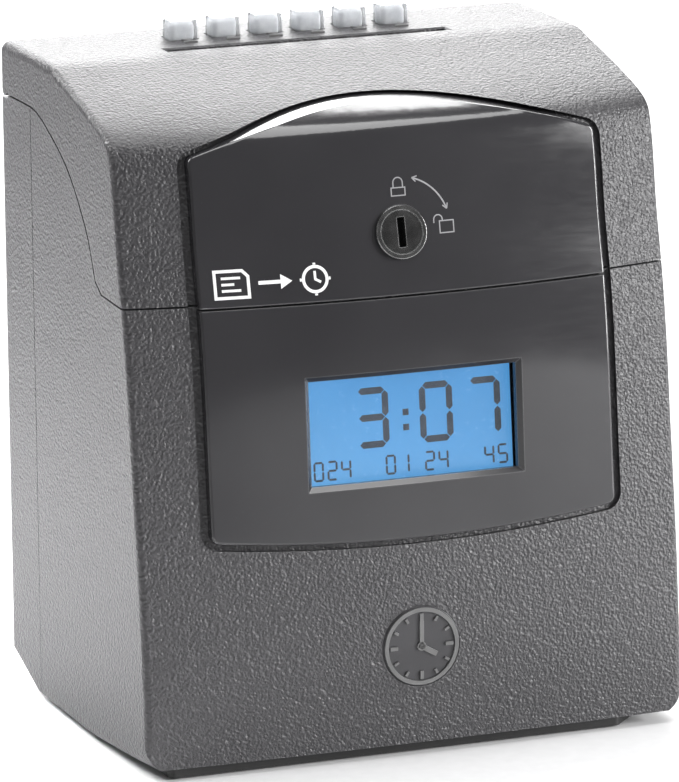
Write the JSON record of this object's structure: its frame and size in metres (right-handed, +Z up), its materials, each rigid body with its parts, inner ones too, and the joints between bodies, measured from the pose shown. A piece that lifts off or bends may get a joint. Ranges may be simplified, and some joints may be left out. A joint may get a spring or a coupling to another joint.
{
  "type": "punch time clock",
  "caption": "Upright desk time recorder with a bowed dark housing, hinged locking hood, card slot, clear push buttons, glossy front panels and a blue display",
  "frame": {"origin": "middle of the footprint, on the surface the clock stands on", "axes": "+Z up, front faces -Y, +X to the right seen from the front"},
  "size_m": [0.1626, 0.1184, 0.1961],
  "materials": {
    "housing_plastic": "dark charcoal ABS with a fine leather-like grain",
    "panel_gloss": "smooth dark grey plastic, polished",
    "base_plastic": "black moulded plastic",
    "rubber_black": "soft black rubber",
    "clear_window": "clear window with polished faces",
    "display_blue": "blue backlit liquid crystal display",
    "lock_chrome": "plated metal, fine turning marks",
    "steel": "plain zinc-plated steel",
    "steel_dark": "black finished steel",
    "button_clear": "milky translucent plastic",
    "board_green": "green circuit board",
    "parts_black": "black component plastic",
    "white_plastic": "natural white engineering plastic",
    "black_plastic": "black moulded plastic",
    "aluminium_cast": "die-cast aluminium",
    "emblem_metal": "dark satin metal disc",
    "battery_metal": "nickel-plated cell",
    "ribbon_ink": "inked woven ribbon",
    "belt_rubber": "toothed drive belt"
  },
  "bodies": {
    "frame": {"base_plate": "base_plastic", "base_screws": "steel_dark", "board_parts": "parts_black", "buzzer": "parts_black", "card_chute_front": "steel", "card_chute_rear": "steel", "carriage_belt": "belt_rubber", "carriage_motor": "steel", "case_screws": "steel_dark", "chassis_left": "steel", "chassis_right": "steel", "chassis_screws": "steel", "clock_battery": "battery_metal", "dc_inlet": "black_plastic", "display_board": "board_green", "emblem": "emblem_metal", "feed_motor": "steel", "guide_rails": "steel", "hinge_pins": "steel", "ink_ribbon": "ribbon_ink", "lcd_frame": "steel", "lcd_glass": "display_blue", "lcd_window": "clear_window", "lower_front_panel": "panel_gloss", "lower_housing": "housing_plastic", "main_board": "board_green", "motor_shelf": "steel", "platen_bar": "steel", "platen_pad": "rubber_black", "rear_cover": "housing_plastic", "ribbon_cartridge": "black_plastic", "rubber_feet": "rubber_black"},
    "hood": {"hood": "housing_plastic", "upper_front_panel": "panel_gloss", "lock_body": "lock_chrome", "lock_nut": "steel", "keypad_board": "board_green", "keypad_screws": "steel"},
    "lock": {"lock_plug": "lock_chrome", "lock_cam": "steel", "lock_cam_screw": "steel"},
    "feed_drive": {"feed_shaft": "steel", "feed_rollers": "rubber_black", "feed_gear": "white_plastic"},
    "idler": {"idler_gear": "white_plastic"},
    "feed_motor_rotor": {"feed_pinion": "white_plastic", "feed_motor_shaft": "steel"},
    "pressure_roller": {"pinch_shaft": "steel", "pinch_rollers": "white_plastic"},
    "print_carriage": {"carriage": "black_plastic", "print_head": "aluminium_cast"},
    "belt_drive": {"drive_pulley": "white_plastic"},
    "belt_idler": {"idler_pulley": "white_plastic"},
    "ribbon_spool": {"ribbon_knob": "black_plastic"},
    "key_1": {"button_1": "button_clear"},
    "key_2": {"button_2": "button_clear"},
    "key_3": {"button_3": "button_clear"},
    "key_4": {"button_4": "button_clear"},
    "key_5": {"button_5": "button_clear"},
    "key_6": {"button_6": "button_clear"}
  },
  "joints": [
    {"name": "hood_hinge", "type": "hinge", "parent": "frame", "child": "hood", "pos_m": [0, 0.05653, 0.1769], "axis": [-1, 0, 0], "range_deg": [0, 70]},
    {"name": "lock_turn", "type": "hinge", "parent": "hood", "child": "lock", "pos_m": [-0.0015, -0.04945, 0.1486], "axis": [0, 0.9686, -0.2487], "range_deg": [0, 90]},
    {"name": "feed_spin", "type": "hinge", "parent": "frame", "child": "feed_drive", "pos_m": [0, 0.03243, 0.086], "axis": [1, 0, 0], "continuous": true},
    {"name": "idler_spin", "type": "hinge", "parent": "frame", "child": "idler", "pos_m": [0.062, 0.01527, 0.06555], "axis": [1, 0, 0], "continuous": true},
    {"name": "feed_motor_spin", "type": "hinge", "parent": "frame", "child": "feed_motor_rotor", "pos_m": [0.062, -0.00005, 0.05997], "axis": [1, 0, 0], "continuous": true},
    {"name": "pressure_spin", "type": "hinge", "parent": "frame", "child": "pressure_roller", "pos_m": [0, 0.01863, 0.086], "axis": [1, 0, 0], "continuous": true},
    {"name": "carriage_slide", "type": "slide", "parent": "frame", "child": "print_carriage", "axis": [1, 0, 0], "range_m": [-0.021, 0.021]},
    {"name": "belt_drive_spin", "type": "hinge", "parent": "frame", "child": "belt_drive", "pos_m": [-0.04, -0.028, 0.09], "axis": [0, 0, 1], "range_deg": [-190, 190]},
    {"name": "belt_idler_spin", "type": "hinge", "parent": "frame", "child": "belt_idler", "pos_m": [0.04, -0.028, 0.09], "axis": [0, 0, 1], "range_deg": [-190, 190]},
    {"name": "ribbon_spin", "type": "hinge", "parent": "frame", "child": "ribbon_spool", "pos_m": [-0.03, 0.002, 0.14], "axis": [0, 0, 1], "continuous": true},
    {"name": "key_1_press", "type": "slide", "parent": "hood", "child": "key_1", "axis": [0, 0, -1], "range_m": [0, 0.0012], "stiffness_N_per_m": 500, "springref_m": -0.0006},
    {"name": "key_2_press", "type": "slide", "parent": "hood", "child": "key_2", "axis": [0, 0, -1], "range_m": [0, 0.0012], "stiffness_N_per_m": 500, "springref_m": -0.0006},
    {"name": "key_3_press", "type": "slide", "parent": "hood", "child": "key_3", "axis": [0, 0, -1], "range_m": [0, 0.0012], "stiffness_N_per_m": 500, "springref_m": -0.0006},
    {"name": "key_4_press", "type": "slide", "parent": "hood", "child": "key_4", "axis": [0, 0, -1], "range_m": [0, 0.0012], "stiffness_N_per_m": 500, "springref_m": -0.0006},
    {"name": "key_5_press", "type": "slide", "parent": "hood", "child": "key_5", "axis": [0, 0, -1], "range_m": [0, 0.0012], "stiffness_N_per_m": 500, "springref_m": -0.0006},
    {"name": "key_6_press", "type": "slide", "parent": "hood", "child": "key_6", "axis": [0, 0, -1], "range_m": [0, 0.0012], "stiffness_N_per_m": 500, "springref_m": -0.0006}
  ],
  "couplings": [
    {"joint": "idler_spin", "follows": "feed_spin", "ratio": -1.5385},
    {"joint": "feed_motor_spin", "follows": "feed_spin", "ratio": 2.8571},
    {"joint": "belt_drive_spin", "follows": "carriage_slide", "rad_per_m": -156.25},
    {"joint": "belt_idler_spin", "follows": "carriage_slide", "rad_per_m": -156.25}
  ]
}
